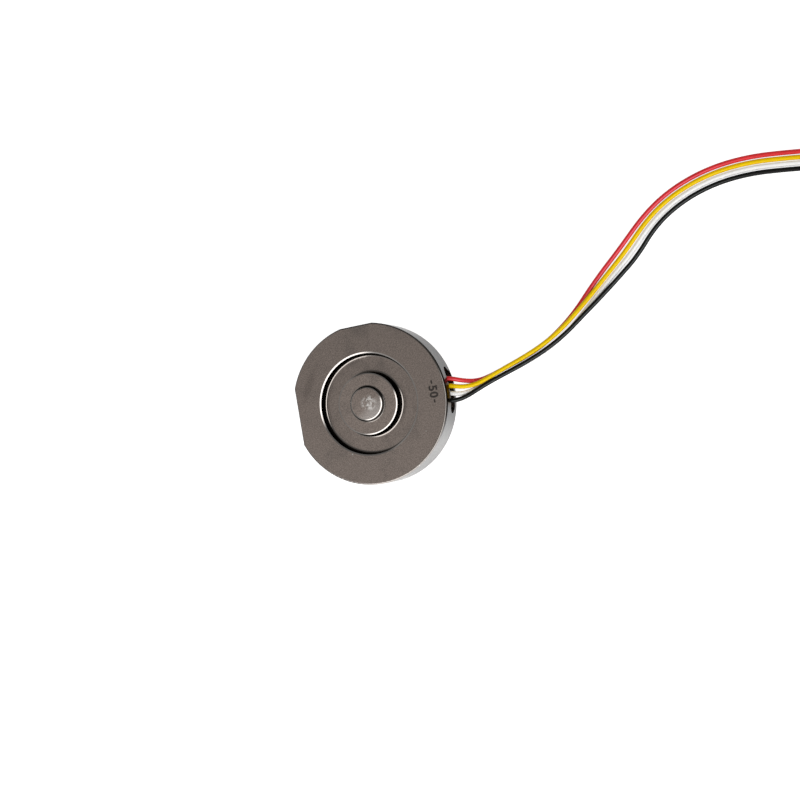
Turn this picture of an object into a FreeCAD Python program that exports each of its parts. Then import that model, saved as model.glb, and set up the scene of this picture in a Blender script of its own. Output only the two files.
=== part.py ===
# Coin-size compression load cell: a turned stainless flexure with a raised load button,
# a strain-gauge bridge bonded under its diaphragm, a bonded base cover and four loose leads.
# Millimetres. The origin is the centre of the base underside, +Z goes up through the button
# and +X points out of the slot that the leads leave by.

import FreeCAD
import Part
import Sketcher
import math
import os

doc = FreeCAD.newDocument("compression_load_cell")

# Driving dimensions

sizeValues = {
    # sensing body, outside
    "body_diameter": 19.7,
    "rim_height": 4.65,
    "rim_round": 0.2,
    "base_chamfer": 0.2,
    "back_flat_depth": 0.65,
    "side_flat_depth": 0.215,
    # steps from the outside in: base rim, cover seat, ring board, recess wall and boss
    "base_rim_width": 1.5,
    "seat_width": 0.75,
    "board_gap": 0.25,
    "board_width": 1.0,
    "board_ledge": 0.19,
    "floor_width": 2.4,
    "button_share": 0.535,
    # recess round the boss, and the raised boss and button
    "recess_depth": 1.35,
    "recess_bevel_width": 0.16,
    "recess_bevel_depth": 0.09,
    "floor_fillet": 0.5,
    "boss_rise": 0.32,
    "boss_bevel_width": 0.13,
    "boss_bevel_depth": 0.075,
    "button_rise": 0.56,
    "button_fillet": 0.34,
    "button_bevel_width": 0.13,
    "button_bevel_depth": 0.08,
    "dome_rise": 0.15,
    # underside: gauge cavity under the diaphragm, and the cover in its seat
    "diaphragm_thickness": 0.52,
    "cavity_fillet": 0.2,
    "cover_clearance": 0.05,
    "cover_thickness": 0.4,
    "cover_setback": 0.17,
    "cover_bond_thickness": 0.05,
    "cover_chamfer": 0.08,
    # slot for the leads, from above the cover's seat to above the conductors
    "slot_width": 5.76,
    "slot_sill": 0.305,
    "slot_headroom": 0.595,
    "sealant_setback": 1.25,
    # ring board and its adhesive
    "board_thickness": 0.35,
    "board_bond_thickness": 0.08,
    "board_bond_margin": 0.06,
    # gauges, their glass and their gold wires
    "gauge_length": 1.0,
    "gauge_width": 0.5,
    "gauge_thickness": 0.05,
    "gauge_inset": 0.75,
    "glass_margin": 0.14,
    "glass_thickness": 0.06,
    "bond_wire_diameter": 0.05,
    "bond_wire_spacing": 0.24,
    "bond_wire_drop": 0.3,
    "bond_wire_inset": 0.2,
    "bond_wire_lift": 0.01,
    # chip resistors that trim the bridge
    "chip_length": 1.0,
    "chip_width": 0.5,
    "chip_height": 0.35,
    # leads
    "lead_diameter": 0.55,
    "conductor_diameter": 0.25,
    "lead_pitch": 0.9,
    "lead_offset": 0.15,
    "lead_entry": 0.15,
    "lead_bend_inset": 1.05,
    "conductor_clearance": 0.045,
    "conductor_overlap": 0.45,
    "solder_diameter": 0.58,
    "solder_length": 0.7,
    "solder_chamfer": 0.12,
    "tip_length": 3.0,
}

sheet = doc.addObject("Spreadsheet::Sheet", "sizes")
for row, (alias, number) in enumerate(sizeValues.items(), start=1):
    sheet.set("A%d" % row, alias)
    sheet.set("B%d" % row, str(number))
    sheet.setAlias("B%d" % row, alias)
doc.recompute()


def size(alias):
    return float(sheet.get(alias))


# Expressions that several pieces share: radii from the outside in, then heights

bodyRadius = "sizes.body_diameter / 2"
coverRadius = "(%s - sizes.base_rim_width)" % bodyRadius
seatRadius = "(%s + sizes.cover_clearance)" % coverRadius
cavityRadius = "(%s - sizes.seat_width)" % coverRadius
boardOuter = "(%s - sizes.board_gap)" % cavityRadius
boardMiddle = "(%s - sizes.board_width / 2)" % boardOuter
boardInner = "(%s - sizes.board_width)" % boardOuter
recessRadius = "(%s - sizes.board_ledge)" % boardInner
bossRadius = "(%s - sizes.floor_width)" % recessRadius
buttonRadius = "(%s * sizes.button_share)" % bossRadius
floorHeight = "(sizes.rim_height - sizes.recess_depth)"
bossHeight = "(sizes.rim_height + sizes.boss_rise)"
buttonHeight = "(%s + sizes.button_rise)" % bossHeight
ceilingHeight = "(%s - sizes.diaphragm_thickness)" % floorHeight
seatHeight = "(sizes.cover_setback + sizes.cover_thickness + sizes.cover_bond_thickness)"
boardTop = "(%s - sizes.board_bond_thickness)" % ceilingHeight
boardUnderside = "(%s - sizes.board_thickness)" % boardTop
conductorHeight = (
    "(%s - sizes.conductor_clearance - sizes.conductor_diameter / 2)" % boardUnderside
)
slotTop = "(%s + sizes.slot_headroom)" % conductorHeight
slotBottom = "(%s + sizes.slot_sill)" % seatHeight

# The same radii and heights as numbers, for sketches' first outlines and swept shapes

bodyR = size("body_diameter") / 2
coverR = bodyR - size("base_rim_width")
cavityR = coverR - size("seat_width")
boardInnerR = cavityR - size("board_gap") - size("board_width")
recessR = boardInnerR - size("board_ledge")
bossR = recessR - size("floor_width")
buttonR = bossR * size("button_share")
floorZ = size("rim_height") - size("recess_depth")
bossZ = size("rim_height") + size("boss_rise")
bevelZ = bossZ + size("button_rise")
sideZ = bevelZ - size("button_bevel_depth")
ceilingZ = floorZ - size("diaphragm_thickness")
boardUndersideZ = ceilingZ - size("board_bond_thickness") - size("board_thickness")
conductorZ = boardUndersideZ - size("conductor_clearance") - size("conductor_diameter") / 2
gaugeUndersideZ = ceilingZ - size("glass_thickness") - size("gauge_thickness")
seatZ = size("cover_setback") + size("cover_thickness") + size("cover_bond_thickness")
slotTopZ = conductorZ + size("slot_headroom")
slotBottomZ = seatZ + size("slot_sill")
leadStartX = cavityR + size("lead_entry")
alongX = FreeCAD.Rotation(FreeCAD.Vector(0, 1, 0), 90)
sameLength = 1e-4

subParts = []


def keep(item, label):
    # a finished sub-part: its label names its file
    item.Label = label
    subParts.append(item)
    return item


# Helpers for sketches and primitives


def originPlane(body, role):
    return next(f for f in body.Origin.OriginFeatures if f.Role == role)


def addSketch(body, name, role):
    sketch = body.newObject("Sketcher::SketchObject", name)
    sketch.AttachmentSupport = (originPlane(body, role), [""])
    sketch.MapMode = "FlatFace"
    return sketch


def bindPoint(sketch, element, end, across, up):
    # ties one point of a sketch to expressions for its two coordinates; "0" puts it on the axis
    for kind, axis, part, expression in (
        ("DistanceX", -2, "x", across),
        ("DistanceY", -1, "y", up),
    ):
        if expression == "0":
            sketch.addConstraint(Sketcher.Constraint("PointOnObject", element, end, axis))
        else:
            now = getattr(sketch.getPoint(element, end), part)
            sketch.addConstraint(Sketcher.Constraint(kind, -1, 1, element, end, now))
            sketch.setExpression("Constraints[%d]" % (sketch.ConstraintCount - 1), expression)


def outlineSketch(body, name, role, corners):
    # a closed outline of straight lines, whose corners are pairs of expressions
    sketch = addSketch(body, name, role)
    count = len(corners)
    start = [
        FreeCAD.Vector(
            bodyR * math.cos(2 * math.pi * i / count), bodyR * math.sin(2 * math.pi * i / count), 0
        )
        for i in range(count)
    ]
    for i in range(count):
        sketch.addGeometry(Part.LineSegment(start[i], start[(i + 1) % count]), False)
    for i in range(count):
        sketch.addConstraint(Sketcher.Constraint("Coincident", i, 2, (i + 1) % count, 1))
    for i, (across, up) in enumerate(corners):
        bindPoint(sketch, i, 1, across, up)
    doc.recompute()
    return sketch


def turn(body, name, kind, sketch):
    feature = body.newObject(kind, name)
    feature.Profile = sketch
    feature.ReferenceAxis = (sketch, ["V_Axis"])
    feature.Angle = 360
    doc.recompute()
    return feature


def cutThrough(body, name, sketch):
    # cuts from the sketch plane along its normal, right through
    feature = body.newObject("PartDesign::Pocket", name)
    feature.Profile = sketch
    feature.Type = "ThroughAll"
    feature.Reversed = True
    doc.recompute()
    return feature


def circleEdges(shape, radius, height):
    # names of the full circles of one radius at one height
    names = []
    for number, edge in enumerate(shape.Edges, start=1):
        if edge.Degenerated or not isinstance(edge.Curve, Part.Circle):
            continue
        circle = edge.Curve
        if abs(circle.Radius - radius) < sameLength and abs(circle.Center.z - height) < sameLength:
            names.append("Edge%d" % number)
    return names


def dress(body, name, kind, edges, sizeName, alias):
    # a fillet or chamfer on named edges of the body as it stands
    solidSoFar = body.Tip
    feature = body.newObject(kind, name)
    feature.Base = (solidSoFar, edges)
    feature.setExpression(sizeName, "sizes." + alias)
    doc.recompute()
    return feature


def bind(item, **expressions):
    for name, expression in expressions.items():
        item.setExpression(name, expression)
    return item


def placeAround(item, angle, radial, lateral, height):
    # turns an item about the Z axis and puts its own origin at a radius, a sideways offset
    # and a height, all three expressions
    item.Placement.Rotation = FreeCAD.Rotation(FreeCAD.Vector(0, 0, 1), angle)
    cosine = "cos(%g deg)" % angle
    sine = "sin(%g deg)" % angle
    across = "(%s) * %s - (%s) * %s" % (radial, cosine, lateral, sine)
    up = "(%s) * %s + (%s) * %s" % (radial, sine, lateral, cosine)
    item.setExpression(".Placement.Base.x", across)
    item.setExpression(".Placement.Base.y", up)
    item.setExpression(".Placement.Base.z", height)


def box(name, angle, length, width, height, radial, lateral, base):
    item = doc.addObject("Part::Box", name)
    bind(item, Length=length, Width=width, Height=height)
    placeAround(item, angle, radial, lateral, base)
    return item


def cylinder(name, radius, height, base="0"):
    item = doc.addObject("Part::Cylinder", name)
    bind(item, Radius=radius, Height=height)
    item.setExpression(".Placement.Base.z", base)
    return item


def boolean(name, kind, base, tool):
    item = doc.addObject(kind, name)
    item.Base = base
    item.Tool = tool
    return item


def ring(name, outer, inner, height, base):
    return boolean(
        name,
        "Part::Cut",
        cylinder(name + "_outside", outer, height, base),
        cylinder(name + "_inside", inner, height, base),
    )


# Sensing body, turned from one bar

body = doc.addObject("PartDesign::Body", "sensing_body")
turn(
    body,
    "turned_blank",
    "PartDesign::Revolution",
    outlineSketch(
        body,
        "blank_profile",
        "XZ_Plane",
        [
            ("0", "0"),
            (bodyRadius, "0"),
            (bodyRadius, "sizes.rim_height"),
            (recessRadius + " + sizes.recess_bevel_width", "sizes.rim_height"),
            (recessRadius, "sizes.rim_height - sizes.recess_bevel_depth"),
            (recessRadius, floorHeight),
            (bossRadius, floorHeight),
            (bossRadius, bossHeight + " - sizes.boss_bevel_depth"),
            (bossRadius + " - sizes.boss_bevel_width", bossHeight),
            ("0", bossHeight),
        ],
    ),
)

# the load button: its side, a bevel, and a shallow dome so that a flat platen meets its middle
bevelR = buttonR - size("button_bevel_width")
domeZ = bevelZ + size("dome_rise")
domeR = (bevelR**2 + size("dome_rise") ** 2) / (2 * size("dome_rise"))
domeCentre = FreeCAD.Vector(0, domeZ - domeR, 0)
buttonSketch = addSketch(body, "button_profile", "XZ_Plane")
buttonCorners = [(0, bossZ), (buttonR, bossZ), (buttonR, sideZ), (bevelR, bevelZ)]
buttonSketch.addGeometry(
    [
        Part.LineSegment(FreeCAD.Vector(*first, 0), FreeCAD.Vector(*last, 0))
        for first, last in zip(buttonCorners, buttonCorners[1:])
    ],
    False,
)
buttonSketch.addGeometry(
    [
        Part.ArcOfCircle(
            Part.Circle(domeCentre, FreeCAD.Vector(0, 0, 1), domeR),
            math.atan2(bevelZ - domeCentre.y, bevelR),
            math.pi / 2,
        ),
        Part.LineSegment(FreeCAD.Vector(0, domeZ, 0), FreeCAD.Vector(0, bossZ, 0)),
    ],
    False,
)
for side in range(5):
    buttonSketch.addConstraint(Sketcher.Constraint("Coincident", side, 2, (side + 1) % 5, 1))
bindPoint(buttonSketch, 0, 1, "0", bossHeight)
bindPoint(buttonSketch, 1, 1, buttonRadius, bossHeight)
bindPoint(buttonSketch, 2, 1, buttonRadius, buttonHeight + " - sizes.button_bevel_depth")
bindPoint(buttonSketch, 3, 1, buttonRadius + " - sizes.button_bevel_width", buttonHeight)
bindPoint(buttonSketch, 4, 1, "0", buttonHeight + " + sizes.dome_rise")
buttonSketch.addConstraint(Sketcher.Constraint("PointOnObject", 3, 3, -2))
doc.recompute()
turn(body, "load_button", "PartDesign::Revolution", buttonSketch)

# rounded inner corners, which keep the stress low
for name, radius, height, alias in (
    ("recess_floor_fillet", recessR, floorZ, "floor_fillet"),
    ("boss_foot_fillet", bossR, floorZ, "floor_fillet"),
    ("button_foot_fillet", buttonR, bossZ, "button_fillet"),
):
    edges = circleEdges(body.Shape, radius, height)
    dress(body, name, "PartDesign::Fillet", edges, "Radius", alias)

# the underside: the gauge cavity and the counterbore that seats the cover
turn(
    body,
    "underside_bore",
    "PartDesign::Groove",
    outlineSketch(
        body,
        "underside_profile",
        "XZ_Plane",
        [
            ("0", "0"),
            (seatRadius, "0"),
            (seatRadius, seatHeight),
            (cavityRadius, seatHeight),
            (cavityRadius, ceilingHeight),
            ("0", ceilingHeight),
        ],
    ),
)
edges = circleEdges(body.Shape, cavityR, ceilingZ)
dress(body, "cavity_corner_fillet", "PartDesign::Fillet", edges, "Radius", "cavity_fillet")

# two milled flats: a deep one opposite the leads and a shallow one a quarter turn on
beyond = "(%s + 1)" % bodyRadius
backFace = "-(%s - sizes.back_flat_depth)" % bodyRadius
sideFace = "(%s - sizes.side_flat_depth)" % bodyRadius
cutThrough(
    body,
    "back_flat",
    outlineSketch(
        body,
        "back_flat_outline",
        "XY_Plane",
        [
            ("-" + beyond, "-" + beyond),
            (backFace, "-" + beyond),
            (backFace, beyond),
            ("-" + beyond, beyond),
        ],
    ),
)
cutThrough(
    body,
    "side_flat",
    outlineSketch(
        body,
        "side_flat_outline",
        "XY_Plane",
        [
            ("-" + beyond, sideFace),
            (beyond, sideFace),
            (beyond, beyond),
            ("-" + beyond, beyond),
        ],
    ),
)

# the slot for the leads, round-ended, milled in from the rim until it opens into the cavity
slotR = (slotTopZ - slotBottomZ) / 2
slotHalf = size("slot_width") / 2 - slotR
slotZ = (slotTopZ + slotBottomZ) / 2
slotSketch = addSketch(body, "slot_outline", "YZ_Plane")
slotSketch.addGeometry(
    [
        Part.ArcOfCircle(
            Part.Circle(FreeCAD.Vector(side * slotHalf, slotZ, 0), FreeCAD.Vector(0, 0, 1), slotR),
            math.pi / 2 * first,
            math.pi / 2 * last,
        )
        for side, first, last in ((1, -1, 1), (-1, 1, 3))
    ],
    False,
)
slotSketch.addGeometry(
    [
        Part.LineSegment(
            FreeCAD.Vector(side * slotHalf, slotZ + side * slotR, 0),
            FreeCAD.Vector(-side * slotHalf, slotZ + side * slotR, 0),
        )
        for side in (1, -1)
    ],
    False,
)
for first, firstEnd, second, secondEnd in ((0, 2, 2, 1), (2, 2, 1, 1), (1, 2, 3, 1), (3, 2, 0, 1)):
    slotSketch.addConstraint(Sketcher.Constraint("Tangent", first, firstEnd, second, secondEnd))
slotReach = "(sizes.slot_width - %s + %s) / 2" % (slotTop, slotBottom)
slotCentre = "(%s + %s) / 2" % (slotTop, slotBottom)
bindPoint(slotSketch, 0, 3, slotReach, slotCentre)
bindPoint(slotSketch, 1, 3, "-" + slotReach, slotCentre)
slotSketch.addConstraint(Sketcher.Constraint("Radius", 0, slotR))
slotRadius = "Constraints[%d]" % (slotSketch.ConstraintCount - 1)
slotSketch.setExpression(slotRadius, "(%s - %s) / 2" % (slotTop, slotBottom))
slotSketch.setExpression(
    ".AttachmentOffset.Base.z",
    "sqrt(%s ^ 2 - (sizes.slot_width / 2) ^ 2)" % cavityRadius,
)
doc.recompute()
cutThrough(body, "lead_slot", slotSketch)


def outerEdges(shape, height):
    # the rim's outline at one height, arcs and flats together
    names = []
    for number, edge in enumerate(shape.Edges, start=1):
        if edge.Degenerated:
            continue
        points = edge.discretize(5)
        level = all(abs(p.z - height) < sameLength for p in points)
        if level and min(math.hypot(p.x, p.y) for p in points) > outlineInner:
            names.append("Edge%d" % number)
    return names


outlineInner = (bodyR - size("back_flat_depth") + coverR) / 2
dress(
    body,
    "rim_edge_round",
    "PartDesign::Fillet",
    outerEdges(body.Shape, size("rim_height")),
    "Radius",
    "rim_round",
)
dress(
    body,
    "base_edge_chamfer",
    "PartDesign::Chamfer",
    outerEdges(body.Shape, 0.0),
    "Size",
    "base_chamfer",
)
keep(body, "sensing_body")

# Base cover, a thin disc bonded against the seat and set back from the base plane

cover = doc.addObject("PartDesign::Body", "base_cover")
coverSketch = addSketch(cover, "cover_outline", "XY_Plane")
coverSketch.addGeometry(
    Part.Circle(FreeCAD.Vector(0, 0, 0), FreeCAD.Vector(0, 0, 1), coverR), False
)
coverSketch.addConstraint(Sketcher.Constraint("Coincident", 0, 3, -1, 1))
coverSketch.addConstraint(Sketcher.Constraint("Radius", 0, coverR))
coverSketch.setExpression("Constraints[1]", coverRadius)
coverSketch.setExpression(".AttachmentOffset.Base.z", "sizes.cover_setback")
doc.recompute()
coverPad = cover.newObject("PartDesign::Pad", "cover_disc")
coverPad.Profile = coverSketch
coverPad.setExpression("Length", "sizes.cover_thickness")
doc.recompute()
dress(
    cover,
    "cover_edge_chamfer",
    "PartDesign::Chamfer",
    circleEdges(cover.Shape, coverR, size("cover_setback")),
    "Size",
    "cover_chamfer",
)
keep(cover, "base_cover")

keep(
    ring(
        "cover_bond_ring",
        coverRadius,
        cavityRadius,
        "sizes.cover_bond_thickness",
        "sizes.cover_setback + sizes.cover_thickness",
    ),
    "cover_adhesive",
)

# Ring board, bonded under the rigid rim where the flexure doesn't move

keep(
    ring("board_ring", boardOuter, boardInner, "sizes.board_thickness", boardUnderside),
    "circuit_board",
)
keep(
    ring(
        "board_bond_ring",
        boardOuter + " - sizes.board_bond_margin",
        boardInner + " + sizes.board_bond_margin",
        "sizes.board_bond_thickness",
        boardTop,
    ),
    "board_adhesive",
)

# Strain gauges, each in its own bead of glass: two where the diaphragm meets the boss and
# two where it meets the rim, so that load strains them in opposite senses

gaugePlaces = {
    "outer_front": (45, "(%s - sizes.gauge_inset)" % recessRadius),
    "inner_rear": (135, "(%s + sizes.gauge_inset)" % bossRadius),
    "outer_rear": (225, "(%s - sizes.gauge_inset)" % recessRadius),
    "inner_front": (315, "(%s + sizes.gauge_inset)" % bossRadius),
}
glassLength = "(sizes.gauge_length + 2 * sizes.glass_margin)"
glassWidth = "(sizes.gauge_width + 2 * sizes.glass_margin)"
for name, (angle, middle) in gaugePlaces.items():
    glassBase = "%s - sizes.glass_thickness" % ceilingHeight
    keep(
        box(
            "glass_" + name,
            angle,
            glassLength,
            glassWidth,
            "sizes.glass_thickness",
            "%s - %s / 2" % (middle, glassLength),
            "-%s / 2" % glassWidth,
            glassBase,
        ),
        "glass_bead_" + name,
    )
    keep(
        box(
            "gauge_" + name,
            angle,
            "sizes.gauge_length",
            "sizes.gauge_width",
            "sizes.gauge_thickness",
            "%s - sizes.gauge_length / 2" % middle,
            "-sizes.gauge_width / 2",
            glassBase + " - sizes.gauge_thickness",
        ),
        "strain_gauge_" + name,
    )

# Gold wires that loop from each gauge to the ring board, two to a gauge


def goldWire(angle, gaugeMiddle, side):
    radius = size("bond_wire_diameter") / 2
    first = gaugeMiddle + side * size("gauge_length") * 0.3
    last = boardInnerR + size("bond_wire_inset")
    across = side * size("bond_wire_spacing") / 2
    lift = radius + size("bond_wire_lift")
    path = Part.Arc(
        FreeCAD.Vector(first, across, gaugeUndersideZ - lift),
        FreeCAD.Vector((first + last) / 2, across, boardUndersideZ - size("bond_wire_drop")),
        FreeCAD.Vector(last, across, boardUndersideZ - lift),
    ).toShape()
    start = path.valueAt(path.FirstParameter)
    along = path.tangentAt(path.FirstParameter)
    section = Part.Wire([Part.Circle(start, along, radius).toShape()])
    wire = Part.Wire([path]).makePipeShell([section], True, False)
    wire.rotate(FreeCAD.Vector(0, 0, 0), FreeCAD.Vector(0, 0, 1), angle)
    return wire


gaugeMiddles = {
    "outer": recessR - size("gauge_inset"),
    "inner": bossR + size("gauge_inset"),
}
goldWires = doc.addObject("Part::Feature", "gold_wires")
goldWires.Shape = Part.makeCompound(
    [
        goldWire(angle, gaugeMiddles[name.split("_")[0]], side)
        for name, (angle, middle) in gaugePlaces.items()
        for side in (-1, 1)
    ]
)
goldWires.Placement = FreeCAD.Placement()
keep(goldWires, "bond_wires")

# Chip resistors on the ring board, opposite the leads

for number, angle in enumerate((156, 172, 188, 204), start=1):
    keep(
        box(
            "chip_%d" % number,
            angle,
            "sizes.chip_width",
            "sizes.chip_length",
            "sizes.chip_height",
            boardMiddle + " - sizes.chip_width / 2",
            "-sizes.chip_length / 2",
            boardUnderside + " - sizes.chip_height",
        ),
        "trim_resistor_%d" % number,
    )

# Leads. Each leaves the slot level, comes down over a few millimetres and then lies on the
# surface. Past the slot red and white lie lowest, with yellow and black on top of them, and
# further on all four spread out side by side. X counts outward from the side of the body, and
# the heights are drawn for one height of the conductors and move along with it.

drawnHeight = 2.18
low = size("lead_diameter") / 2 + 0.005
high = low + size("lead_diameter") + 0.03
nearRoutes = {
    "red": [
        (-0.05, 1.36, 2.15), (0.65, 1.12, 1.98), (1.30, 0.88, 1.66),
        (1.95, 0.68, 1.24), (2.65, 0.55, 0.80), (3.55, 0.56, 0.45), (4.80, 0.86, low),
        (6.55, 1.40, low), (9.05, 2.17, low), (11.55, 3.16, low), (14.15, 4.78, low),
        (16.35, 6.58, low), (18.30, 8.62, low), (20.35, 10.58, low), (22.60, 12.56, low),
    ],
    "yellow": [
        (-0.05, 0.46, 2.16), (0.65, 0.24, 2.08), (1.35, 0.07, 1.90),
        (2.10, 0.02, 1.64), (3.00, 0.10, 1.30), (4.05, 0.45, 1.02), (5.35, 0.92, high),
        (7.05, 1.50, high), (9.45, 2.30, high), (11.90, 3.30, high), (14.25, 4.62, high),
        (16.55, 6.35, 0.79), (18.75, 8.2, 0.62), (20.95, 10.15, 0.42), (23.20, 12.1, low),
    ],
    "white": [
        (-0.10, -0.47, 2.15), (0.55, -0.66, 1.95), (1.20, -0.72, 1.58),
        (1.95, -0.62, 1.13), (2.85, -0.36, 0.71), (3.95, -0.01, 0.41), (5.25, 0.36, low),
        (7.00, 0.86, low), (9.55, 1.62, low), (12.20, 2.63, low), (14.75, 4.1, low),
        (17.10, 6.0, low), (19.30, 7.95, low), (21.55, 9.87, low), (23.85, 11.75, low),
    ],
    "black": [
        (-0.25, -1.36, 2.16), (0.45, -1.40, 2.06), (1.20, -1.29, 1.86),
        (2.00, -1.02, 1.60), (2.90, -0.62, 1.28), (4.00, -0.16, 1.00), (5.25, 0.28, high),
        (7.00, 0.82, high), (9.55, 1.63, high), (12.20, 2.66, high), (14.80, 4.07, high),
        (17.30, 5.86, 0.80), (19.75, 7.62, 0.62), (22.15, 9.45, 0.42), (24.55, 11.35, low),
    ],
}

# past that stretch the four run side by side about one line, and the rest of their length is
# put away in one loose curl that winds slightly inwards
laneStep = size("lead_diameter") + 0.1
sharedRoute = [
    (26.85, 15.3), (30.35, 17.4), (34.45, 18.65), (38.75, 18.95), (43.15, 18.45), (47.75, 17.7),
]
curlCentre = (51.15, 8.8)
curlRadius = 7.9
curlTightening = 0.0011
curlStart = 12
curlSteps = {"red": 40, "yellow": 44, "white": 47, "black": 50}
leadNames = ["red", "yellow", "white", "black"]


def nearPlace(x, y, z):
    # a drawn point of a route, carried by the body's side and by the height of the conductors
    if z > high:
        z = high + (z - high) * (conductorZ - high) / (drawnHeight - high)
    return bodyR + x, y, z


def leadRoute(name):
    lane = 1.5 - leadNames.index(name)
    entryY = size("lead_offset") + lane * size("lead_pitch")
    points = [
        (leadStartX, entryY, conductorZ),
        (bodyR - size("lead_bend_inset"), entryY, conductorZ),
    ]
    points += [nearPlace(*point) for point in nearRoutes[name]]
    for i, (x, y) in enumerate(sharedRoute):
        before = sharedRoute[max(i - 1, 0)]
        after = sharedRoute[min(i + 1, len(sharedRoute) - 1)]
        alongX, alongY = after[0] - before[0], after[1] - before[1]
        length = math.hypot(alongX, alongY)
        shift = lane * laneStep / length
        points.append(nearPlace(x - alongY * shift, y + alongX * shift, low))
    step = curlSteps[name]
    for i in range(8):
        turned = curlStart + step * i
        radius = curlRadius * (1 - curlTightening * turned) + lane * laneStep
        radius /= math.cos(math.radians(step / 2))
        points.append(
            nearPlace(
                curlCentre[0] + radius * math.sin(math.radians(turned)),
                curlCentre[1] + radius * math.cos(math.radians(turned)),
                low,
            )
        )
    return [FreeCAD.Vector(*point) for point in points]


def roundedPath(points):
    # straight runs joined by tangent arcs, each as large as its two runs allow
    edges, radii = [], []
    here = points[0]
    for before, corner, after in zip(points, points[1:], points[2:]):
        back, ahead = before - corner, after - corner
        cut = 0.45 * min(back.Length, ahead.Length)
        turned = math.pi - back.getAngle(ahead)
        radius = cut / math.tan(turned / 2)
        radii.append(radius)
        back.normalize()
        ahead.normalize()
        first, last = corner + back * cut, corner + ahead * cut
        inward = back + ahead
        inward.normalize()
        middle = corner + inward * (radius / math.cos(turned / 2) - radius)
        edges.append(Part.LineSegment(here, first).toShape())
        edges.append(Part.Arc(first, middle, last).toShape())
        here = last
    edges.append(Part.LineSegment(here, points[-1]).toShape())
    return Part.Wire(edges), radii


def padPlace(name):
    # the sideways place of a lead's solder pad, and its place along X on the ring board's middle
    lane = 1.5 - leadNames.index(name)
    across = "(sizes.lead_offset + %g * sizes.lead_pitch)" % lane
    return "sqrt(%s ^ 2 - %s ^ 2)" % (boardMiddle, across), across


leads = []
conductors = []
for name in leadNames:
    route = leadRoute(name)
    path, radii = roundedPath(route)
    along = route[1] - route[0]
    leadRadius = size("lead_diameter") / 2
    section = Part.Wire([Part.Circle(route[0], along, leadRadius).toShape()])
    lead = doc.addObject("Part::Feature", "insulation_" + name)
    lead.Shape = path.makePipeShell([section], True, False)
    lead.Placement = FreeCAD.Placement()
    leads.append(keep(lead, "lead_" + name))
    expected = math.pi * leadRadius**2 * path.Length
    print(
        "lead_%s: %.1f mm long, volume %.4f of section times length, radii %s"
        % (name, path.Length, lead.Shape.Volume / expected, " ".join("%.1f" % r for r in radii))
    )

    # the stripped end inside, which reaches its solder joint on the ring board
    padX, padY = padPlace(name)
    inner = cylinder(
        "conductor_" + name,
        "sizes.conductor_diameter / 2",
        "%s + sizes.lead_entry - %s + sizes.conductor_overlap" % (cavityRadius, padX),
    )
    inner.Placement.Rotation = alongX
    inner.setExpression(".Placement.Base.x", "%s - sizes.conductor_overlap" % padX)
    inner.setExpression(".Placement.Base.y", padY)
    inner.setExpression(".Placement.Base.z", conductorHeight)
    conductors.append(keep(inner, "inner_end_" + name))

    # the stripped and tinned end of the lead outside
    last = route[-1] - route[-2]
    last.normalize()
    tip = cylinder("tip_" + name, "sizes.conductor_diameter / 2", "sizes.tip_length")
    tip.setExpression(".Placement.Base.z", None)
    tip.Placement = FreeCAD.Placement(
        route[-1], FreeCAD.Rotation(FreeCAD.Vector(0, 0, 1), last)
    )
    keep(tip, "tinned_tip_" + name)

doc.recompute()

# Solder joints: a mound of solder along each conductor, flat against the ring board

for name, conductor in zip(leadNames, conductors):
    padX, padY = padPlace(name)
    mound = cylinder("solder_bar_" + name, "sizes.solder_diameter / 2", "sizes.solder_length")
    mound.Placement.Rotation = alongX
    mound.setExpression(".Placement.Base.x", "%s - sizes.solder_length / 2" % padX)
    mound.setExpression(".Placement.Base.y", padY)
    mound.setExpression(".Placement.Base.z", conductorHeight)
    doc.recompute()
    bevelled = doc.addObject("Part::Chamfer", "solder_mound_" + name)
    bevelled.Base = mound
    bevelled.Edges = [
        (number, size("solder_chamfer"), size("solder_chamfer"))
        for number, edge in enumerate(mound.Shape.Edges, start=1)
        if isinstance(edge.Curve, Part.Circle)
    ]
    above = doc.addObject("Part::Box", "above_pad_" + name)
    bind(above, Length="sizes.solder_length", Width="sizes.solder_diameter")
    above.Height = "1 mm"
    above.setExpression(".Placement.Base.x", "%s - sizes.solder_length / 2" % padX)
    above.setExpression(".Placement.Base.y", "%s - sizes.solder_diameter / 2" % padY)
    above.setExpression(".Placement.Base.z", boardUnderside)
    flattened = boolean("solder_flat_" + name, "Part::Cut", bevelled, above)
    keep(boolean("solder_" + name, "Part::Cut", flattened, conductor), "solder_joint_" + name)

# Sealant that fills the slot round the leads, stopping short of the rim

filling = doc.addObject("Part::Feature", "slot_filling")
filling.Shape = Part.Face(Part.Wire(slotSketch.Shape.Edges)).extrude(
    FreeCAD.Vector(bodyR, 0, 0)
)
filling.Placement = FreeCAD.Placement()
sealRing = ring(
    "sealant_ring",
    "%s - sizes.sealant_setback" % bodyRadius,
    cavityRadius,
    "sizes.rim_height",
    "0",
)
sealant = boolean("sealant_plug", "Part::Common", filling, sealRing)
for name, sealedIn in (("conductors", conductors), ("leads", leads)):
    bundle = doc.addObject("Part::Compound", "sealed_in_" + name)
    bundle.Links = sealedIn
    sealant = boolean("sealant_round_" + name, "Part::Cut", sealant, bundle)
keep(sealant, "exit_sealant")

doc.recompute()

# Check every object, then write each sub-part to its own file

for item in doc.Objects:
    if "Invalid" in item.State or "Error" in item.State:
        raise RuntimeError("%s did not build: %s" % (item.Label, item.State))
os.makedirs("parts", exist_ok=True)
for item in subParts:
    if item.Shape.isNull() or not item.Shape.isValid() or not item.Shape.Solids:
        raise RuntimeError("%s has no valid solid" % item.Label)
for item in subParts:
    item.Shape.exportStep("parts/%s.step" % item.Label)
print("%d sub-parts written" % len(subParts))
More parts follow.
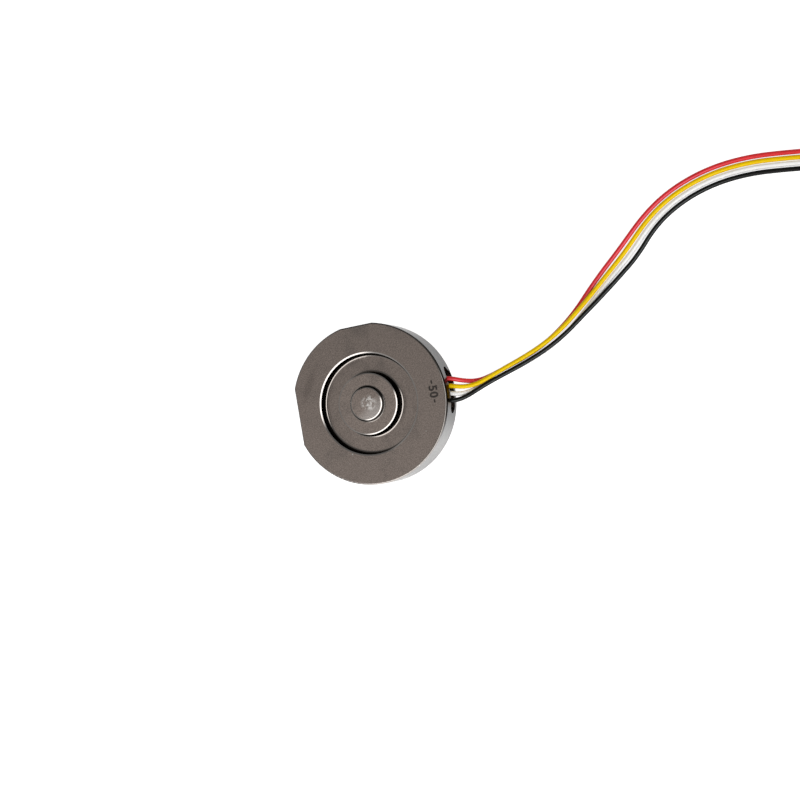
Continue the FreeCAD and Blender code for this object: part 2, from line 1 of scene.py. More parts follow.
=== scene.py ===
# Coin-size compression load cell on a pale table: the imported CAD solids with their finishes,
# four thin leads drawn as smooth cords, twisted strands at their tips and an etched mark.
import bpy
import math
from mathutils import Matrix, Vector


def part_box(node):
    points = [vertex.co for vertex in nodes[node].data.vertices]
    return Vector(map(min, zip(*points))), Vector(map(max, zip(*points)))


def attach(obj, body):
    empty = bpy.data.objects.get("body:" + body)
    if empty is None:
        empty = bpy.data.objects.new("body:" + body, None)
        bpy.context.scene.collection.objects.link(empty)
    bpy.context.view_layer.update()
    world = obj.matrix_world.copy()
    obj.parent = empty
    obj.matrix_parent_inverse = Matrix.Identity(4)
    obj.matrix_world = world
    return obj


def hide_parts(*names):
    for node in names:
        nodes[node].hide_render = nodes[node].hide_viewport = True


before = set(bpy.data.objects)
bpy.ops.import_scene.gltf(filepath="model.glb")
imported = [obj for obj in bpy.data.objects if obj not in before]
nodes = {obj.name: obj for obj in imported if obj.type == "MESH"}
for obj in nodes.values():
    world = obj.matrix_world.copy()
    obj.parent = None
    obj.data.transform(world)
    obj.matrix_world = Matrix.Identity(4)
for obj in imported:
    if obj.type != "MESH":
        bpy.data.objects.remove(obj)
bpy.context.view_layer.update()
mm = 0.001
print("frame loaded:", len(nodes), "nodes")

# the body's outer radius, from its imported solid, and the height of its rim's face
rimRadius = -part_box("sensing_body")[0].y
faceHeight = 4.65 * mm


# small helpers for meshes, curves and node trees

def meshPiece(name, vertices, faces, smooth=True):
    mesh = bpy.data.meshes.new(name)
    mesh.from_pydata(vertices, [], faces)
    mesh.validate()
    for face in mesh.polygons:
        face.use_smooth = smooth
    return placed(name, mesh)


def placed(name, data):
    piece = bpy.data.objects.new(name, data)
    bpy.context.scene.collection.objects.link(piece)
    return piece


def paint(piece, material):
    # one material for the whole piece, in its first slot
    piece.data.materials.clear()
    piece.data.materials.append(material)


def addNode(tree, kind, inputs=None, **settings):
    node = tree.nodes.new(kind)
    for name, value in settings.items():
        setattr(node, name, value)
    for name, value in (inputs or {}).items():
        if isinstance(value, bpy.types.NodeSocket):
            tree.links.new(value, node.inputs[name])
        else:
            node.inputs[name].default_value = value
    return node


def newGroup(name, inputs, outputs):
    # a shader node group with named sockets; returns its tree, its inputs and its output node
    tree = bpy.data.node_groups.new(name, "ShaderNodeTree")
    for socketName, socketType, value in inputs:
        socket = tree.interface.new_socket(
            name=socketName, in_out="INPUT", socket_type=socketType)
        if value is not None:
            socket.default_value = value
    for socketName, socketType in outputs:
        tree.interface.new_socket(name=socketName, in_out="OUTPUT", socket_type=socketType)
    return tree, tree.nodes.new("NodeGroupInput").outputs, tree.nodes.new("NodeGroupOutput")


def useGroup(tree, group, **inputs):
    sockets = {name[0].upper() + name[1:]: value for name, value in inputs.items()}
    return addNode(tree, "ShaderNodeGroup", sockets, node_tree=group).outputs


def arithmetic(tree, operation, a, b=None, clamp=False):
    node = tree.nodes.new("ShaderNodeMath")
    node.operation = operation
    node.use_clamp = clamp
    for place, value in enumerate((a, b)):
        if isinstance(value, bpy.types.NodeSocket):
            tree.links.new(value, node.inputs[place])
        elif value is not None:
            node.inputs[place].default_value = value
    return node.outputs[0]


def product(tree, *shares):
    result = shares[0]
    for share in shares[1:]:
        result = arithmetic(tree, "MULTIPLY", result, share)
    return result


def largest(tree, *shares):
    result = shares[0]
    for share in shares[1:]:
        result = arithmetic(tree, "MAXIMUM", result, share)
    return result


def without(tree, share, taken):
    # a mask with another one taken out of it
    return arithmetic(tree, "MULTIPLY", share, arithmetic(tree, "SUBTRACT", 1.0, taken))


def plusShare(tree, base, share, amount, clamp=False):
    # a value, raised by an amount where the mask is one
    return arithmetic(tree, "ADD", base, arithmetic(tree, "MULTIPLY", share, amount), clamp)


def ramp(tree, value, low, high, toLow=0.0, toHigh=1.0):
    node = addNode(tree, "ShaderNodeMapRange", {"Value": value}, interpolation_type="SMOOTHSTEP")
    node.inputs["From Min"].default_value = low
    node.inputs["From Max"].default_value = high
    node.inputs["To Min"].default_value = toLow
    node.inputs["To Max"].default_value = toHigh
    return node.outputs["Result"]


grainSpread = (0.3, 0.7)    # nearly all of the grain's values lie between these


def fromGrain(tree, grain, low, high):
    return ramp(tree, grain, *grainSpread, low, high)


def blendColours(tree, factor, first, second, mode="MIX"):
    node = tree.nodes.new("ShaderNodeMix")
    node.data_type = "RGBA"
    node.blend_type = mode
    for place, value in ((0, factor), (6, first), (7, second)):
        if isinstance(value, bpy.types.NodeSocket):
            tree.links.new(value, node.inputs[place])
        elif place == 0:
            node.inputs[place].default_value = value
        else:
            node.inputs[place].default_value = (*value, 1.0)
    return node.outputs[2]


def directionOf(azimuth, elevation):
    a, e = math.radians(azimuth), math.radians(elevation)
    return Vector((math.cos(e) * math.cos(a), math.cos(e) * math.sin(a), math.sin(e)))


def alongDirection(tree, vector, azimuth, elevation=0):
    # how far a place or a direction lies along the given one
    aligned = addNode(tree, "ShaderNodeVectorMath", {
        0: vector, 1: directionOf(azimuth, elevation),
    }, operation="DOT_PRODUCT")
    return aligned.outputs["Value"]


def axisOf(tree, vector, axis):
    return addNode(tree, "ShaderNodeSeparateXYZ", {"Vector": vector}).outputs[axis]


def newMaterial(name):
    # returns the material, its tree and its shader
    material = bpy.data.materials.new(name)
    material.use_nodes = True
    tree = material.node_tree
    return material, tree, tree.nodes["Principled BSDF"]


def placeOnPiece(tree):
    return addNode(tree, "ShaderNodeTexCoord").outputs["Object"]


def addBump(tree, shader, height, strength, distance):
    bump = addNode(tree, "ShaderNodeBump", {
        "Height": height, "Strength": strength, "Distance": distance,
    })
    tree.links.new(bump.outputs["Normal"], shader.inputs["Normal"])


# shared effects, each one node group

def makeGrainGroup():
    # fine even grain, as a tumbled or blasted surface has
    tree, given, out = newGroup(
        "fineGrain",
        [("Vector", "NodeSocketVector", None), ("Scale", "NodeSocketFloat", 9000.0)],
        [("Grain", "NodeSocketFloat")],
    )
    fine = addNode(tree, "ShaderNodeTexNoise", {
        "Vector": given["Vector"], "Scale": given["Scale"], "Detail": 3.0, "Roughness": 0.6,
    })
    tree.links.new(fine.outputs["Fac"], out.inputs["Grain"])
    return tree


def makeTurningGroup():
    # the tool's fine marks: rings round the axis on a face, and level lines on an outer wall
    tree, given, out = newGroup(
        "turnedRings",
        [("Vector", "NodeSocketVector", None), ("Scale", "NodeSocketFloat", 14000.0)],
        [("Rings", "NodeSocketFloat"), ("Lines", "NodeSocketFloat"),
         ("Radius", "NodeSocketFloat"), ("Height", "NodeSocketFloat")],
    )
    parts = addNode(tree, "ShaderNodeSeparateXYZ", {"Vector": given["Vector"]}).outputs
    radius = arithmetic(tree, "SQRT", arithmetic(
        tree, "ADD",
        arithmetic(tree, "POWER", parts["X"], 2.0), arithmetic(tree, "POWER", parts["Y"], 2.0),
    ))

    def toolMarks(place):
        return addNode(tree, "ShaderNodeTexNoise", {
            "Vector": addNode(tree, "ShaderNodeCombineXYZ", place).outputs[0],
            "Scale": given["Scale"], "Detail": 2.0, "Roughness": 0.55,
        }).outputs["Fac"]

    tree.links.new(toolMarks({"X": radius, "Y": parts["Z"]}), out.inputs["Rings"])
    tree.links.new(toolMarks({"Z": parts["Z"]}), out.inputs["Lines"])
    tree.links.new(radius, out.inputs["Radius"])
    tree.links.new(parts["Z"], out.inputs["Height"])
    return tree


cloudSpan = {"start": 0.62, "spreadShare": 0.3, "full": 0.78}


def makeSmudgeGroup():
    # soft cloudy marks left by handling
    tree, given, out = newGroup(
        "handlingMarks",
        [("Vector", "NodeSocketVector", None), ("Scale", "NodeSocketFloat", 300.0),
         ("Spread", "NodeSocketFloat", 0.5)],
        [("Marks", "NodeSocketFloat")],
    )
    cloud = addNode(tree, "ShaderNodeTexNoise", {
        "Vector": given["Vector"], "Scale": given["Scale"], "Detail": 4.0, "Roughness": 0.55,
        "Distortion": 0.6,
    })
    start = arithmetic(
        tree, "SUBTRACT", cloudSpan["start"],
        arithmetic(tree, "MULTIPLY", given["Spread"], cloudSpan["spreadShare"]))
    marks = addNode(tree, "ShaderNodeMapRange", {
        "Value": cloud.outputs["Fac"], "From Min": start, "From Max": cloudSpan["full"],
    }, interpolation_type="SMOOTHSTEP")
    tree.links.new(marks.outputs["Result"], out.inputs["Marks"])
    return tree


def makeSpeckGroup():
    # a few small specks and nicks, one in some of the cells
    tree, given, out = newGroup(
        "specksAndNicks",
        [("Vector", "NodeSocketVector", None), ("Scale", "NodeSocketFloat", 700.0),
         ("Size", "NodeSocketFloat", 0.09), ("Amount", "NodeSocketFloat", 0.2)],
        [("Specks", "NodeSocketFloat")],
    )
    cells = addNode(tree, "ShaderNodeTexVoronoi", {
        "Vector": given["Vector"], "Scale": given["Scale"],
    }).outputs
    dot = arithmetic(tree, "LESS_THAN", cells["Distance"], given["Size"])
    chance = addNode(tree, "ShaderNodeSeparateColor", {"Color": cells["Color"]}).outputs["Red"]
    chosen = arithmetic(tree, "LESS_THAN", chance, given["Amount"])
    tree.links.new(product(tree, dot, chosen), out.inputs["Specks"])
    return tree


grainGroup = makeGrainGroup()
turningGroup = makeTurningGroup()
smudgeGroup = makeSmudgeGroup()
speckGroup = makeSpeckGroup()
print("shared effects ready")

# turned and tumbled stainless steel: satin faces, smoother walls and edges, a rubbed button, and
# painted light, shade and highlights
steelLook = {
    # faces, and what marks them
    "faceColour": (0.57, 0.48, 0.43),
    "smudgeColour": (0.45, 0.385, 0.35),
    "speckColour": (0.86, 0.84, 0.80),
    "buttonHighlightColour": (0.95, 0.93, 0.91),
    # walls, lighter towards the window as painted light, with a painted brown reflection above the
    # slot and painted shade on its lower lip
    "wallColour": (0.42, 0.424, 0.43),
    "wallStreakColour": (0.3, 0.3, 0.3),
    "litWallColour": (0.77, 0.77, 0.77),
    "innerShadeColour": (0.06, 0.056, 0.052),
    "slotReflectionColour": (0.2, 0.15, 0.09),
    "lipShadeColour": (0.05, 0.035, 0.03),
    # turned edges, fillets darkened as painted shade, the fine line round the rim and the painted
    # shade along the top of the outer wall
    "edgeColour": (0.76, 0.72, 0.69),
    "filletShadeColour": (0.47, 0.43, 0.4),
    "rimLineColour": (0.45, 0.42, 0.4),
    "rimShadeColour": (0.05, 0.046, 0.042),
    # the tint at a slant: clear on faces, dark on edges and inner walls, between on outer walls
    "faceGrazing": (0.85, 0.84, 0.83),
    "darkGrazing": (0.25, 0.25, 0.25),
    "wallGrazing": (0.5, 0.5, 0.5),
    # how level a surface is where each kind begins, and where it is fully that kind
    "leaning": (0.985, 0.94),
    "steep": (0.86, 0.76),
    "upright": (0.72, 0.6),
    "vertical": (0.3, 0.15),
    # places on the body
    "wallFrom": 8.8 * mm,
    "slotFrom": 7.5 * mm,
    "slotWallGap": 0.07 * mm,
    "windowSide": (-2.0 * mm, -7.0 * mm),
    "rimEdgeDepth": 0.55 * mm,
    "rimEdgeBlur": 0.04 * mm,
    "bossEdge": (3.9 * mm, 3.6 * mm),
    "filletDepth": 0.6 * mm,
    "filletEnd": 2.4 * mm,
    "buttonFoot": (1.99 * mm, 2.19 * mm),
    "buttonRadius": 1.9 * mm,
    "buttonHeight": 0.88 * mm,
    "belowTop": (0.12 * mm, 0.04 * mm),
    "aboveSlot": {"start": (1.9 * mm, 0.1 * mm), "end": (-2.4 * mm, -0.9 * mm),
                  "height": (2.4 * mm, 3.4 * mm)},
    "onLip": {"start": (0.6 * mm, 0.9 * mm), "end": (2.6 * mm, 2.2 * mm),
              "height": (1.1 * mm, 0.95 * mm)},
    # shade across the faces, lighter on the boss and darker along one band; the button's lit side
    "lightSide": -95,
    "shade": (0.77, 0.93),
    "bossShade": 1.12,
    "band": {"place": (-7.2 * mm, 3.6 * mm), "turn": 62, "long": 3.2 * mm, "wide": 0.75 * mm,
             "fade": (0.2, 1.0), "shade": 0.8},
    "grainTint": (0.74, 1.25),
    "buttonLitSide": -55,
    "buttonLit": (-0.6, 0.5),
    # the patches that the platen has rubbed, painted bright as a highlight
    "rubbedPlace": (0.35 * mm, 0.0),
    "rubbedRadius": 1.15 * mm,
    "rubbedCore": 0.5,
    "mottle": {"Scale": 2100.0, "Detail": 4.0, "Roughness": 0.62, "Distortion": 0.9},
    "patches": (0.42, 0.56),
    # roughness and relief
    "roughness": 0.22,
    "wallRoughness": 0.1,
    "buttonRoughness": 0.45,
    "rubbedRoughness": 0.3,
    "grainRoughness": (-0.04, 0.04),
    "smudgeRoughness": 0.06,
    "streaks": (0.4, 0.62),
    "ringShare": (0.25, 0.8),
    "speckDepth": -2.0,
    "bump": (0.5, 0.0000016),
}


def steelMasks(tree, where, turned):
    # how much a point belongs to each part of the body
    look = steelLook
    normal = addNode(tree, "ShaderNodeNewGeometry").outputs["Normal"]
    level = arithmetic(tree, "ABSOLUTE", axisOf(tree, normal, "Z"))
    sideways = axisOf(tree, where, "Y")
    radius, height = turned["Radius"], turned["Height"]

    # the slot's own walls lie just inside the radius of the outer wall
    bySlot = arithmetic(tree, "GREATER_THAN", axisOf(tree, where, "X"), look["slotFrom"])
    wallFrom = ramp(tree, bySlot, 0.0, 1.0, look["wallFrom"], rimRadius - look["slotWallGap"])
    outside = arithmetic(tree, "GREATER_THAN", radius, wallFrom)
    byRim = arithmetic(tree, "GREATER_THAN", radius, look["wallFrom"])
    # the side towards the window: the walls get painted light there, and the rim's painted shade is
    # left out
    towardWindow = ramp(tree, sideways, *look["windowSide"])

    # painted shade: inner walls are dark, and so is the narrow ring at the button's foot
    footStart, footEnd = look["buttonFoot"]
    beyondButton = arithmetic(tree, "GREATER_THAN", radius, footStart)
    buttonFoot = product(
        tree, beyondButton, arithmetic(tree, "LESS_THAN", radius, footEnd),
        arithmetic(tree, "GREATER_THAN", height, faceHeight))
    upright = ramp(tree, level, *look["upright"])
    paintedInnerShade = largest(tree, without(tree, upright, outside), buttonFoot)

    # painted shade along the top of the outer wall, left out towards the window
    edgeFrom = faceHeight - look["rimEdgeDepth"]
    highUp = ramp(tree, height, edgeFrom - look["rimEdgeBlur"], edgeFrom + look["rimEdgeBlur"])
    steep = ramp(tree, level, *look["steep"])
    # the fillets at the foot of the walls and round the button get painted shade
    lowerFillet = arithmetic(tree, "LESS_THAN", height, faceHeight - look["filletDepth"])
    upperFillet = product(
        tree, beyondButton, arithmetic(tree, "LESS_THAN", radius, look["filletEnd"]))

    # painted patches by the slot: a brown reflection above it and shade on its lower lip
    def paintedPatchBySlot(paintedPatch):
        return product(
            tree, ramp(tree, sideways, *paintedPatch["start"]), ramp(tree, sideways, *paintedPatch["end"]),
            bySlot, ramp(tree, height, *paintedPatch["height"]))

    return {
        "leaning": ramp(tree, level, *look["leaning"]),
        "outerWall": product(tree, ramp(tree, level, *look["vertical"]), outside),
        "paintedInnerShade": paintedInnerShade,
        "byRim": byRim,
        "towardWindow": towardWindow,
        "rimEdge": without(tree, product(tree, steep, highUp, byRim), towardWindow),
        "fillet": largest(tree, lowerFillet, upperFillet),
        "aboveSlot": paintedPatchBySlot(look["aboveSlot"]),
        "onLip": paintedPatchBySlot(look["onLip"]),
    }


def buttonMasks(tree, where, turned):
    # the button's top, and the patches on it where the platen rubs, which carry a painted highlight
    look = steelLook
    top = faceHeight + look["buttonHeight"]
    onTop = ramp(tree, turned["Height"], *(top - below for below in look["belowTop"]))
    fromRub = addNode(tree, "ShaderNodeVectorMath", {
        0: where, 1: (*look["rubbedPlace"], top),
    }, operation="DISTANCE").outputs["Value"]
    inside = ramp(tree, fromRub, look["rubbedRadius"], look["rubbedRadius"] * look["rubbedCore"])
    mottle = addNode(tree, "ShaderNodeTexNoise", {"Vector": where, **look["mottle"]})
    patches = ramp(tree, mottle.outputs["Fac"], *look["patches"])
    return onTop, product(tree, onTop, inside, patches)


# painted shade across the faces: lighter towards one side and on the boss, darker along one band,
# with the grain on top
def faceShade(tree, where, turned, grain):
    look, band = steelLook, steelLook["band"]
    towardLight = alongDirection(tree, where, look["lightSide"])
    across = ramp(tree, towardLight, -rimRadius, rimRadius, *look["shade"])
    onBoss = ramp(tree, turned["Radius"], *look["bossEdge"], 1.0, look["bossShade"])
    inBand = addNode(tree, "ShaderNodeMapping", {
        "Vector": where, "Location": (*band["place"], 0.0),
        "Rotation": (0.0, 0.0, math.radians(band["turn"])),
        "Scale": (band["long"], band["wide"], 1.0),
    }, vector_type="TEXTURE").outputs["Vector"]
    flat = addNode(tree, "ShaderNodeVectorMath", {
        0: inBand, 1: (1.0, 1.0, 0.0),
    }, operation="MULTIPLY").outputs[0]
    reach = addNode(tree, "ShaderNodeVectorMath", {0: flat}, operation="LENGTH").outputs["Value"]
    bandShade = ramp(tree, reach, *band["fade"], band["shade"], 1.0)
    shade = product(tree, across, onBoss, bandShade, fromGrain(tree, grain, *look["grainTint"]))
    return addNode(tree, "ShaderNodeCombineColor", {
        "Red": shade, "Green": shade, "Blue": shade,
    }).outputs[0]


def wallColour(tree, lines, masks):
    look = steelLook
    streaks = ramp(tree, lines, *look["streaks"])
    wall = blendColours(tree, streaks, look["wallStreakColour"], look["wallColour"])
    # painted light: the walls are lighter on the side towards the window
    wall = blendColours(tree, masks["towardWindow"], wall, look["litWallColour"])
    # painted brown reflection above the slot, then painted shade on its lower lip
    wall = blendColours(tree, masks["aboveSlot"], wall, look["slotReflectionColour"])
    return blendColours(tree, masks["onLip"], wall, look["lipShadeColour"])


def makeBodySteel():
    look = steelLook
    material, tree, shader = newMaterial("turnedStainless")
    where = placeOnPiece(tree)
    grain = useGroup(tree, grainGroup, vector=where, scale=7500.0)["Grain"]
    turned = useGroup(tree, turningGroup, vector=where, scale=16000.0)
    smudge = useGroup(tree, smudgeGroup, vector=where, scale=330.0, spread=0.55)["Marks"]
    speck = useGroup(
        tree, speckGroup, vector=where, scale=620.0, size=0.06, amount=0.1)["Specks"]
    masks = steelMasks(tree, where, turned)
    leaning, outerWall = masks["leaning"], masks["outerWall"]
    onTop, rubbedHighlight = buttonMasks(tree, where, turned)

    colour = blendColours(tree, smudge, look["faceColour"], look["smudgeColour"])
    colour = blendColours(tree, 1.0, colour, faceShade(tree, where, turned, grain), "MULTIPLY")
    # painted highlight: the button's top is lighter on its lit side and on the rubbed patches
    towardLit = alongDirection(tree, where, look["buttonLitSide"])
    lit = ramp(tree, towardLit, -look["buttonRadius"], look["buttonRadius"], *look["buttonLit"])
    litTop = arithmetic(tree, "MULTIPLY", onTop, lit, True)
    colour = blendColours(tree, litTop, colour, look["buttonHighlightColour"])
    colour = blendColours(tree, rubbedHighlight, colour, look["buttonHighlightColour"])
    # edges are bright, and fillets are darkened as painted shade
    edge = blendColours(tree, masks["fillet"], look["edgeColour"], look["filletShadeColour"])
    edge = blendColours(tree, masks["byRim"], edge, look["rimLineColour"])
    colour = blendColours(tree, leaning, colour, edge)
    colour = blendColours(tree, outerWall, colour, wallColour(tree, turned["Lines"], masks))
    # painted shade along the top of the outer wall
    colour = blendColours(tree, masks["rimEdge"], colour, look["rimShadeColour"])
    # painted shade on the inner walls and round the button's foot
    colour = blendColours(tree, masks["paintedInnerShade"], colour, look["innerShadeColour"])
    colour = blendColours(tree, speck, colour, look["speckColour"])
    tree.links.new(colour, shader.inputs["Base Color"])
    shader.inputs["Metallic"].default_value = 1.0

    marked = largest(tree, masks["aboveSlot"], masks["onLip"], masks["rimEdge"])
    grazing = blendColours(tree, leaning, look["faceGrazing"], look["darkGrazing"])
    grazing = blendColours(tree, without(tree, outerWall, marked), grazing, look["wallGrazing"])
    tree.links.new(grazing, shader.inputs["Specular Tint"])

    # faces are satin, walls and edges are smoother and ringed
    rough = ramp(tree, leaning, 0.0, 1.0, look["roughness"], look["wallRoughness"])
    rough = plusShare(
        tree, rough, without(tree, onTop, leaning), look["buttonRoughness"] - look["roughness"])
    rough = plusShare(tree, rough, rubbedHighlight, look["rubbedRoughness"])
    rough = arithmetic(tree, "ADD", rough, fromGrain(tree, grain, *look["grainRoughness"]))
    rough = plusShare(tree, rough, smudge, look["smudgeRoughness"], True)
    tree.links.new(rough, shader.inputs["Roughness"])

    rings, lines = turned["Rings"], turned["Lines"]
    toolMarks = plusShare(tree, rings, outerWall, arithmetic(tree, "SUBTRACT", lines, rings))
    ringShare = ramp(tree, leaning, 0.0, 1.0, *look["ringShare"])
    height = plusShare(tree, grain, toolMarks, ringShare)
    height = plusShare(tree, height, speck, look["speckDepth"])
    addBump(tree, shader, height, *look["bump"])
    return material


# rolled cover plate, brushed one way
coverLook = {
    "colour": (0.6, 0.585, 0.565),
    "scuff": (0.5, 0.48, 0.46),
    "speck": (0.36, 0.34, 0.32),
    "stretch": (0.05, 1.0, 1.0),
    "roughness": 0.28,
    "lineRoughness": (-0.07, 0.07),
    "scuffRoughness": 0.1,
    "bump": (0.45, 0.0000025),
}


def makeCoverSteel():
    look = coverLook
    material, tree, shader = newMaterial("rolledCover")
    where = placeOnPiece(tree)
    stretched = addNode(tree, "ShaderNodeMapping", {"Vector": where, "Scale": look["stretch"]})
    lines = useGroup(
        tree, grainGroup, vector=stretched.outputs["Vector"], scale=9000.0)["Grain"]
    smudge = useGroup(tree, smudgeGroup, vector=where, scale=260.0, spread=0.6)["Marks"]
    speck = useGroup(
        tree, speckGroup, vector=where, scale=520.0, size=0.05, amount=0.08)["Specks"]
    colour = blendColours(tree, smudge, look["colour"], look["scuff"])
    tree.links.new(blendColours(tree, speck, colour, look["speck"]), shader.inputs["Base Color"])
    shader.inputs["Metallic"].default_value = 1.0
    rough = arithmetic(
        tree, "ADD", look["roughness"], fromGrain(tree, lines, *look["lineRoughness"]))
    rough = plusShare(tree, rough, smudge, look["scuffRoughness"])
    tree.links.new(rough, shader.inputs["Roughness"])
    addBump(tree, shader, lines, *look["bump"])
    return material


# finishes of the small pieces: colour, second colour, roughness, metal share and grain scale
smallLooks = {
    "curedEpoxy": ((0.32, 0.21, 0.09), (0.22, 0.13, 0.05), 0.25, 0.0, 1500.0),
    "boardMask": ((0.05, 0.2, 0.1), (0.035, 0.14, 0.07), 0.4, 0.0, 2600.0),
    "firedGlass": ((0.2, 0.23, 0.25), (0.13, 0.15, 0.17), 0.15, 0.0, 1800.0),
    "gaugeSilicon": ((0.13, 0.13, 0.15), (0.08, 0.08, 0.1), 0.12, 0.4, 3000.0),
    "goldWire": ((0.86, 0.62, 0.21), (0.78, 0.53, 0.16), 0.2, 1.0, 9000.0),
    "chipCeramic": ((0.05, 0.05, 0.055), (0.09, 0.09, 0.09), 0.5, 0.0, 4000.0),
    "brightSolder": ((0.68, 0.68, 0.67), (0.55, 0.55, 0.55), 0.22, 1.0, 3500.0),
    "tinnedCopper": ((0.74, 0.72, 0.69), (0.62, 0.57, 0.52), 0.27, 1.0, 6000.0),
    "darkSealant": ((0.035, 0.028, 0.024), (0.06, 0.04, 0.028), 0.45, 0.0, 2400.0),
}
smallShared = {
    "smudgeScale": 0.25,
    "mottle": (0.35, 0.65),
    "secondShare": 0.5,
    "grainRoughness": (-0.05, 0.1),
    "bump": (0.4, 0.000004),
}


def makeSmallFinish(name):
    look = smallShared
    first, second, roughness, metal, scale = smallLooks[name]
    material, tree, shader = newMaterial(name)
    where = placeOnPiece(tree)
    grain = useGroup(tree, grainGroup, vector=where, scale=scale)["Grain"]
    smudge = useGroup(
        tree, smudgeGroup, vector=where, scale=scale * look["smudgeScale"], spread=0.8)["Marks"]
    mixed = product(tree, ramp(tree, grain, *look["mottle"]), look["secondShare"])
    mixed = plusShare(tree, mixed, smudge, look["secondShare"], True)
    tree.links.new(blendColours(tree, mixed, first, second), shader.inputs["Base Color"])
    shader.inputs["Metallic"].default_value = metal
    rough = arithmetic(tree, "ADD", roughness, fromGrain(tree, grain, *look["grainRoughness"]))
    tree.links.new(rough, shader.inputs["Roughness"])
    addBump(tree, shader, grain, *look["bump"])
    return material


# extruded insulation of the leads: its colour, that of its handled stretches, and that of the
# painted highlight line along its upper side
insulationLooks = {
    "red": ((0.76, 0.04, 0.045), (0.6, 0.022, 0.026), (0.84, 0.13, 0.17)),
    "yellow": ((0.88, 0.59, 0.0), (0.8, 0.48, 0.0), (0.92, 0.66, 0.01)),
    "white": ((0.97, 0.97, 0.965), (0.93, 0.925, 0.91), (0.98, 0.98, 0.98)),
    "black": ((0.006, 0.006, 0.006), (0.012, 0.012, 0.011), (0.075, 0.083, 0.083)),
}
insulationShared = {
    "handledShare": 0.6,
    "paintedHighlightSide": (-55, 66),
    "paintedHighlightSpan": (0.955, 0.995),
    "slotShade": (0.03, 0.018, 0.01),
    "slotShadeSpan": (9.75 * mm, 9.3 * mm),
    "roughness": 0.25,
    "grainRoughness": (-0.05, 0.09),
    "specular": 0.13,
    "bump": (0.3, 0.000005),
}


def makeInsulation(name):
    look = insulationShared
    colour, handled, paintedHighlight = insulationLooks[name]
    material, tree, shader = newMaterial("insulation_" + name)
    where = placeOnPiece(tree)
    smudge = useGroup(tree, smudgeGroup, vector=where, scale=900.0, spread=0.9)["Marks"]
    grain = useGroup(tree, grainGroup, vector=where, scale=5200.0)["Grain"]
    normal = addNode(tree, "ShaderNodeNewGeometry").outputs["Normal"]
    facing = alongDirection(tree, normal, *look["paintedHighlightSide"])
    # painted shade on the leads inside the slot, darker further in
    inSlot = ramp(tree, axisOf(tree, where, "X"), *look["slotShadeSpan"])
    shown = blendColours(tree, product(tree, smudge, look["handledShare"]), colour, handled)
    # painted highlight along the lead's upper side
    shown = blendColours(tree, ramp(tree, facing, *look["paintedHighlightSpan"]), shown, paintedHighlight)
    shown = blendColours(tree, inSlot, shown, look["slotShade"])
    tree.links.new(shown, shader.inputs["Base Color"])
    rough = arithmetic(
        tree, "ADD", look["roughness"], fromGrain(tree, grain, *look["grainRoughness"]))
    tree.links.new(rough, shader.inputs["Roughness"])
    shader.inputs["Specular IOR Level"].default_value = look["specular"]
    addBump(tree, shader, grain, *look["bump"])
    return material


# the dark oxide that a marking laser leaves, thinner in places
etchedLook = {
    "colour": (0.032, 0.026, 0.023),
    "thinColour": (0.11, 0.095, 0.085),
    "thinSpan": (0.45, 0.75),
    "metal": 0.3,
    "roughness": (0.5, 0.75),
    "bump": (0.5, 0.000006),
}


def makeEtchedMark():
    look = etchedLook
    material, tree, shader = newMaterial("etchedMark")
    where = placeOnPiece(tree)
    grain = useGroup(tree, grainGroup, vector=where, scale=11000.0)["Grain"]
    thin = ramp(tree, grain, *look["thinSpan"])
    colour = blendColours(tree, thin, look["colour"], look["thinColour"])
    tree.links.new(colour, shader.inputs["Base Color"])
    shader.inputs["Metallic"].default_value = look["metal"]
    tree.links.new(fromGrain(tree, grain, *look["roughness"]), shader.inputs["Roughness"])
    addBump(tree, shader, grain, *look["bump"])
    return material


bodySteel = makeBodySteel()
coverSteel = makeCoverSteel()
smallFinish = {name: makeSmallFinish(name) for name in smallLooks}
insulation = {name: makeInsulation(name) for name in insulationLooks}
etchedMark = makeEtchedMark()
print("materials ready")

# finishes of the carried-over solids, by the start of their names
nodeFinishes = {
    "sensing_body": bodySteel,
    "base_cover": coverSteel,
    "cover_adhesive": smallFinish["curedEpoxy"],
    "board_adhesive": smallFinish["curedEpoxy"],
    "circuit_board": smallFinish["boardMask"],
    "glass_bead": smallFinish["firedGlass"],
    "strain_gauge": smallFinish["gaugeSilicon"],
    "bond_wires": smallFinish["goldWire"],
    "trim_resistor": smallFinish["chipCeramic"],
    "inner_end": smallFinish["tinnedCopper"],
    "tinned_tip": smallFinish["tinnedCopper"],
    "solder_joint": smallFinish["brightSolder"],
    "exit_sealant": smallFinish["darkSealant"],
    "lead_red": insulation["red"],
    "lead_yellow": insulation["yellow"],
    "lead_white": insulation["white"],
    "lead_black": insulation["black"],
}
for nodeName, node in nodes.items():
    finish = next(f for start, f in nodeFinishes.items() if nodeName.startswith(start))
    paint(node, finish)

